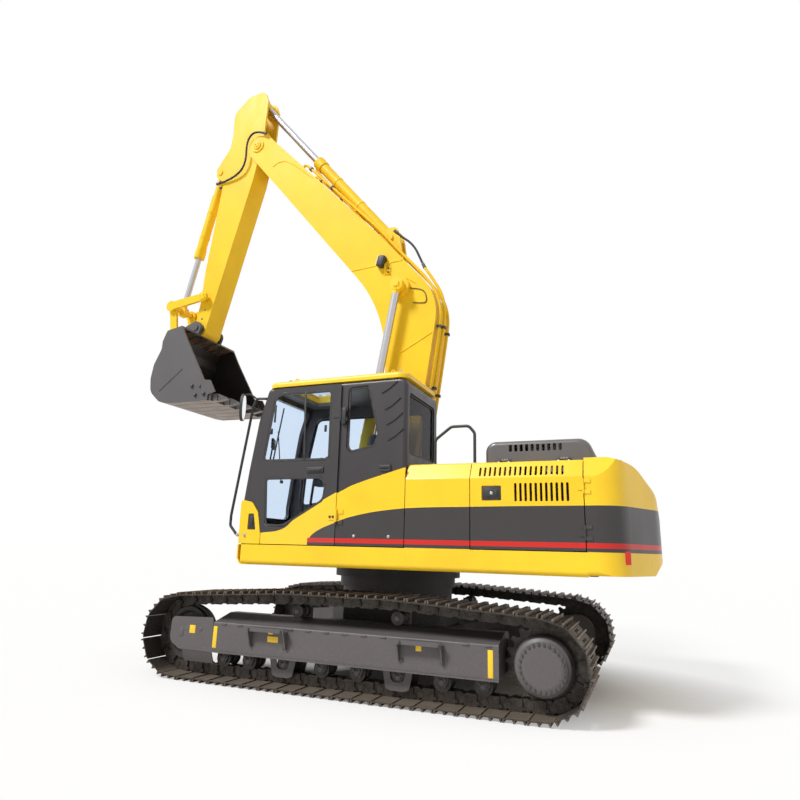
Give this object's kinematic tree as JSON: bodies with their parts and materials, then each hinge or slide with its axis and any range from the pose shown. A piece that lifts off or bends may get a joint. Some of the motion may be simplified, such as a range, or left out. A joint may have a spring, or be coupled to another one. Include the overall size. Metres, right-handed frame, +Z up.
{
  "type": "crawler excavator",
  "caption": "Crawler excavator with a one-piece boom, stick, digging bucket, glazed cab, engine house and counterweight on steel tracks.",
  "frame": {"origin": "middle of the box round the parked machine, on the ground under the tracks", "axes": "+X to the front (idlers and bucket), +Y to the machine's left (cab side), +Z up"},
  "size_m": [6.462, 2.98, 8.079],
  "materials": {
    "frame_charcoal": "satin charcoal paint, dusty",
    "track_steel": "worn dark steel",
    "deck_paint": "satin yellow paint",
    "body_paint": "gloss yellow paint",
    "cover_grey": "dark grey paint",
    "cab_charcoal": "charcoal paint",
    "window_glass": "tinted safety glass",
    "boom_paint": "gloss yellow paint",
    "rod_chrome": "hard chrome",
    "bucket_paint": "charcoal paint, worn",
    "tooth_steel": "dark steel",
    "engine_metal": "painted cast iron",
    "seat_fabric": "dark cloth",
    "black_plastic": "black plastic and painted tube"
  },
  "bodies": {
    "undercarriage": {"car_body": "frame_charcoal", "swing_bearing": "frame_charcoal", "side_frames": "frame_charcoal", "track_left": "track_steel", "track_right": "track_steel", "rollers": "frame_charcoal", "idlers": "frame_charcoal", "sprockets": "frame_charcoal", "final_drives": "frame_charcoal"},
    "house": {"deck_floor": "frame_charcoal", "boom_cheeks": "deck_paint", "deck_beams": "frame_charcoal", "side_rails": "body_paint", "boom_foot_pin": "tooth_steel", "cylinder_brackets": "deck_paint", "engine": "engine_metal", "side_panels": "body_paint", "hood_deck": "cover_grey", "exhaust": "engine_metal", "counterweight": "body_paint", "tanks": "body_paint", "tool_box": "body_paint", "cab_floor": "cab_charcoal", "cab_left_side": "cab_charcoal", "cab_right_side": "cab_charcoal", "cab_front": "cab_charcoal", "cab_back": "cab_charcoal", "cab_roof": "body_paint", "cab_glass": "window_glass", "cab_skirt": "body_paint", "hinges": "cab_charcoal", "seat": "seat_fabric", "controls": "black_plastic", "handrails": "black_plastic"},
    "side_door_left": {"side_door_left": "body_paint"},
    "side_door_right": {"side_door_right": "body_paint"},
    "engine_cover": {"engine_cover": "cover_grey"},
    "cab_door": {"cab_door": "cab_charcoal", "door_glass": "window_glass"},
    "boom": {"boom": "boom_paint", "nose_shaft": "tooth_steel"},
    "boom_tubes": {"boom_cylinder_tubes": "boom_paint"},
    "boom_rods": {"boom_cylinder_rods": "rod_chrome"},
    "stick": {"stick": "boom_paint"},
    "stick_tube": {"stick_cylinder_tube": "boom_paint"},
    "stick_rod": {"stick_cylinder_rod": "rod_chrome"},
    "bucket_tube": {"bucket_cylinder_tube": "boom_paint"},
    "bucket_rod": {"bucket_cylinder_rod": "rod_chrome"},
    "idler_link": {"idler_link": "boom_paint"},
    "power_link": {"power_link": "boom_paint"},
    "bucket": {"bucket": "bucket_paint", "bucket_teeth": "tooth_steel"}
  },
  "joints": [
    {"name": "swing", "type": "hinge", "parent": "undercarriage", "child": "house", "pos_m": [-0.455, 0, 0.95], "axis": [0, 0, 1], "continuous": true},
    {"name": "boom_lift", "type": "hinge", "parent": "house", "child": "boom", "pos_m": [-0.455, 0, 1.93], "axis": [0, -1, 0], "range_deg": [-115, 0]},
    {"name": "stick_swing", "type": "hinge", "parent": "boom", "child": "stick", "pos_m": [1.885, 0, 7.09], "axis": [0, -1, 0], "range_deg": [0, 112]},
    {"name": "bucket_curl", "type": "hinge", "parent": "stick", "child": "bucket", "pos_m": [2.639, 0, 4.29], "axis": [0, -1, 0], "range_deg": [-78, 97]},
    {"name": "boom_tube_tilt", "type": "hinge", "parent": "house", "child": "boom_tubes", "pos_m": [0.045, 0, 1.42], "axis": [0, -1, 0], "range_deg": [-117.29, 1]},
    {"name": "boom_rod_slide", "type": "slide", "parent": "boom_tubes", "child": "boom_rods", "axis": [-0.1726, 0, 0.985], "range_m": [-1.2055, 0.002]},
    {"name": "stick_tube_tilt", "type": "hinge", "parent": "boom", "child": "stick_tube", "pos_m": [-0.26, 0, 5.252], "axis": [0, -1, 0], "range_deg": [-1.91, 1]},
    {"name": "stick_rod_slide", "type": "slide", "parent": "stick_tube", "child": "stick_rod", "axis": [0.6342, 0, 0.7731], "range_m": [-1.4142, 0.002]},
    {"name": "bucket_tube_tilt", "type": "hinge", "parent": "stick", "child": "bucket_tube", "pos_m": [2.64, 0, 6.895], "axis": [0, -1, 0], "range_deg": [-2.94, 2.56]},
    {"name": "bucket_rod_slide", "type": "slide", "parent": "bucket_tube", "child": "bucket_rod", "axis": [0.2228, 0, -0.9749], "range_m": [-0.5742, 0.4621]},
    {"name": "idler_turn", "type": "hinge", "parent": "stick", "child": "idler_link", "pos_m": [2.585, 0, 4.755], "axis": [0, -1, 0], "range_deg": [-52.48, 65.02]},
    {"name": "power_turn", "type": "hinge", "parent": "bucket", "child": "power_link", "pos_m": [3.052, 0, 4.112], "axis": [0, -1, 0], "range_deg": [-70.84, 57.16]},
    {"name": "cab_door_hinge", "type": "hinge", "parent": "house", "child": "cab_door", "pos_m": [-0.355, 1.385, 2.1], "axis": [0, 0, 1], "range_deg": [0, 165]},
    {"name": "side_door_left_hinge", "type": "hinge", "parent": "house", "child": "side_door_left", "pos_m": [-2.656, 1.379, 1.7], "axis": [0, 0, 1], "range_deg": [0, 115]},
    {"name": "side_door_right_hinge", "type": "hinge", "parent": "house", "child": "side_door_right", "pos_m": [-2.656, -1.379, 1.7], "axis": [0, 0, -1], "range_deg": [0, 115]},
    {"name": "engine_cover_hinge", "type": "hinge", "parent": "house", "child": "engine_cover", "pos_m": [-0.455, 1.134, 2.118], "axis": [-1, 0, 0], "range_deg": [0, 55]}
  ],
  "couplings": [
    {"joint": "boom_tube_tilt", "follows": "boom_lift", "ratio": 1.0112},
    {"joint": "boom_rod_slide", "follows": "boom_lift", "m_per_rad": 0.59962},
    {"joint": "stick_tube_tilt", "follows": "stick_swing", "ratio": -0.0081},
    {"joint": "stick_rod_slide", "follows": "stick_swing", "m_per_rad": -0.72246},
    {"joint": "bucket_tube_tilt", "follows": "bucket_curl", "ratio": -0.02},
    {"joint": "bucket_rod_slide", "follows": "bucket_curl", "m_per_rad": -0.338},
    {"joint": "idler_turn", "follows": "bucket_curl", "ratio": 0.66},
    {"joint": "power_turn", "follows": "bucket_curl", "ratio": -0.72}
  ]
}
